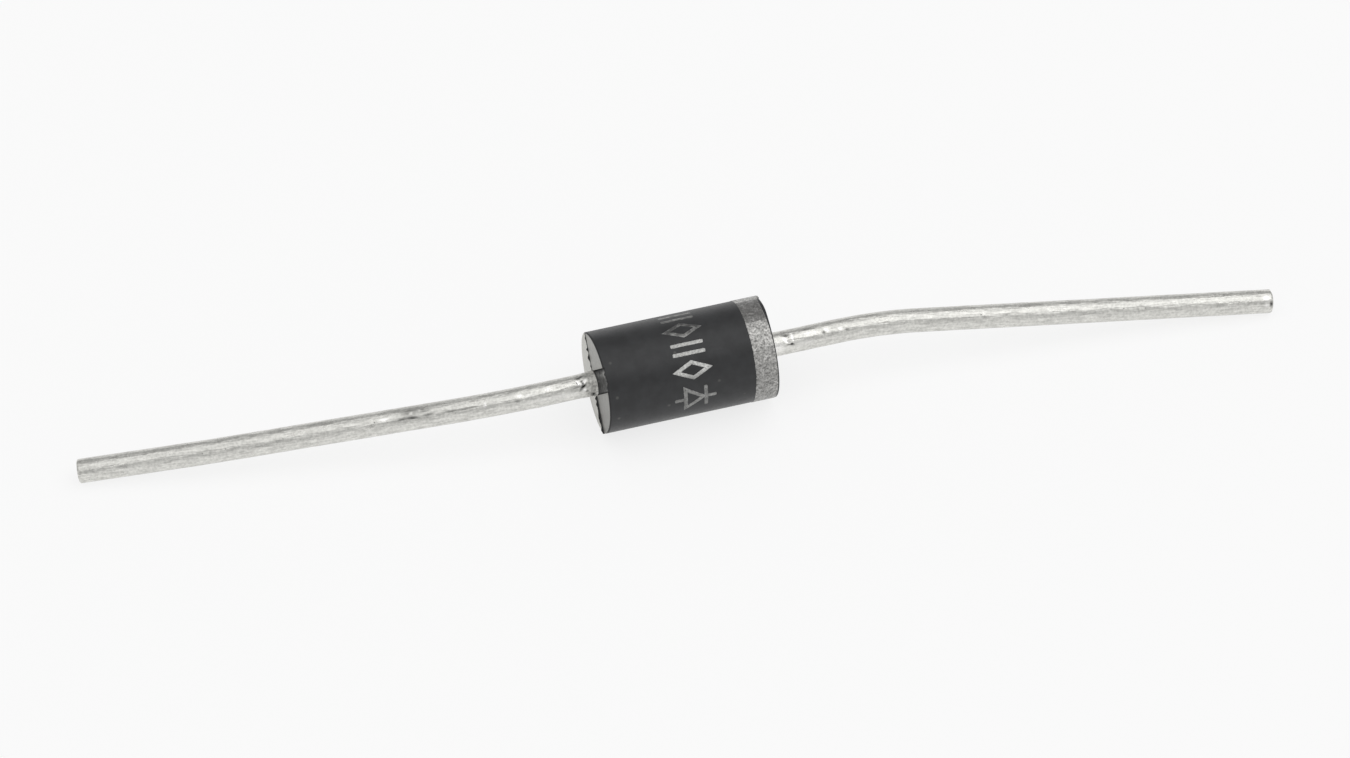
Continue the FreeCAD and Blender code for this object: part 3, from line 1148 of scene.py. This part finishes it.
def place_floor(stage):
    """Pale floor that keeps the object's soft shadow."""
    radius, sides = 3.0, 64
    skin = Skin()
    turns = [TAU * i / sides for i in range(sides)]
    ring = [skin.point(Vector((cos(turn), sin(turn), 0.0)) * radius) for turn in turns]
    skin.fan(skin.point(Vector((0.0, 0.0, 0.0))), ring)
    floor = skin.make("floor", sharp_angle=30)
    material = bpy.data.materials.new("pale floor")
    material.use_nodes = True
    nodes = Nodes(material.node_tree)
    nodes.tree.nodes.clear()
    rays = nodes.add("ShaderNodeLightPath").outputs
    seen = nodes.math("MAXIMUM", rays["Is Camera Ray"], rays["Is Glossy Ray"])
    seen = nodes.math("MAXIMUM", seen, rays["Is Transmission Ray"])
    lit = nodes.add("ShaderNodeBsdfDiffuse", Color=stage.floor)
    white = nodes.add("ShaderNodeEmission", Strength=1.0)
    mix = nodes.add("ShaderNodeMixShader", nodes.times(seen, stage.floor_white), lit.outputs[0],
                    white.outputs[0])
    nodes.add("ShaderNodeOutputMaterial", Surface=mix.outputs[0])
    floor.data.materials.append(material)


def place_lamps(stage):
    """Two soft lamps side by side overhead, from past the zenith to the camera's side."""
    height = stage.lamp_height
    far = height / tan(radians(62))
    near = height / tan(radians(129))
    join = 0.2 * height
    for name, left, right, lean in (("left lamp", -height, join, -1), ("right lamp", join, height, 1)):
        lamp = bpy.data.lights.new(name, "AREA")
        lamp.shape = "RECTANGLE"
        lamp.size = right - left
        lamp.size_y = far - near
        level = stage.lamp_level * (1 + lean * stage.lamp_lean)
        lamp.energy = level * pi * lamp.size * lamp.size_y
        new_object(name, lamp).location = ((left + right) / 2, (far + near) / 2, height)


def light_room(stage):
    """Room round the stage: white near the horizon, grey behind the camera, darker beyond."""
    world = bpy.data.worlds.new("studio")
    world.use_nodes = True
    nodes = Nodes(world.node_tree)
    place = nodes.add("ShaderNodeTexCoord").outputs["Generated"]
    parts = nodes.add("ShaderNodeSeparateXYZ", place).outputs
    left, right, far = [(level, level, level)
                        for level in (stage.near_wall, stage.right_wall, stage.far_wall)]
    near = nodes.blend(nodes.remap(parts["X"], -0.15, 0.15), left, right)
    walls = nodes.blend(nodes.remap(parts["Y"], -0.25, 0.25), near, far)
    room = nodes.blend(nodes.remap(parts["Z"], 0.16, 0.31), (1.0, 1.0, 1.0), walls)
    nodes.put(room, nodes.tree.nodes["Background"].inputs["Color"])
    bpy.context.scene.world = world


def place_camera(stage):
    """Camera at the photograph's viewing angle."""
    turn, rise = stage.azimuth, stage.elevation
    back = Vector((sin(turn) * cos(rise), -cos(turn) * cos(rise), sin(rise)))
    right = Vector((cos(turn), sin(turn), 0.0))
    up = back.cross(right)
    aim = Vector((0.0, 0.0, axis_height)) - right * stage.aim_right - up * stage.aim_down
    lens = bpy.data.cameras.new("camera")
    lens.sensor_width = 36.0
    lens.lens = stage.lens
    lens.clip_start = 0.01
    lens.clip_end = 20.0
    camera = new_object("camera", lens)
    facing = Matrix((right, up, back)).transposed().to_4x4()
    camera.matrix_world = Matrix.Translation(aim + back * stage.distance) @ facing
    bpy.context.scene.camera = camera


class DIODE_OT_set_stage(bpy.types.Operator):
    """Set the floor, the soft lamps, the room and the camera"""

    bl_idname = "diode.set_stage"
    bl_label = "Set stage"

    def execute(self, context):
        stage = context.scene.diode_stage
        place_floor(stage)
        place_lamps(stage)
        light_room(stage)
        place_camera(stage)
        context.scene.view_settings.view_transform = "Standard"
        return {"FINISHED"}


OPERATORS = (DIODE_OT_mould_body, DIODE_OT_print_band, DIODE_OT_print_marks, DIODE_OT_draw_leads,
             DIODE_OT_finish_inside, DIODE_OT_set_stage)


class DIODE_PT_build(bpy.types.Panel):
    """Buttons that build the diode, and its settings"""

    bl_idname = "DIODE_PT_build"
    bl_label = "Axial rectifier diode"
    bl_space_type = "VIEW_3D"
    bl_region_type = "UI"
    bl_category = "Diode"

    def draw(self, context):
        for operator in OPERATORS:
            self.layout.operator(operator.bl_idname)
        for name, group in SETTINGS:
            box = self.layout.box()
            box.label(text=group.__doc__)
            settings = getattr(context.scene, name)
            for prop in settings.bl_rna.properties:
                if prop.identifier not in {"rna_type", "name"}:
                    box.prop(settings, prop.identifier)


def register():
    for name, group in SETTINGS:
        bpy.utils.register_class(group)
        setattr(bpy.types.Scene, name, bpy.props.PointerProperty(type=group))
    for operator in OPERATORS:
        bpy.utils.register_class(operator)
    bpy.utils.register_class(DIODE_PT_build)


def unregister():
    bpy.utils.unregister_class(DIODE_PT_build)
    for operator in reversed(OPERATORS):
        bpy.utils.unregister_class(operator)
    for name, group in reversed(SETTINGS):
        delattr(bpy.types.Scene, name)
        bpy.utils.unregister_class(group)


def main():
    register()
    bpy.ops.diode.mould_body()
    bpy.ops.diode.print_band()
    bpy.ops.diode.print_marks()
    bpy.ops.diode.draw_leads()
    bpy.ops.diode.finish_inside()
    bpy.ops.diode.set_stage()


if __name__ == "__main__":
    main()
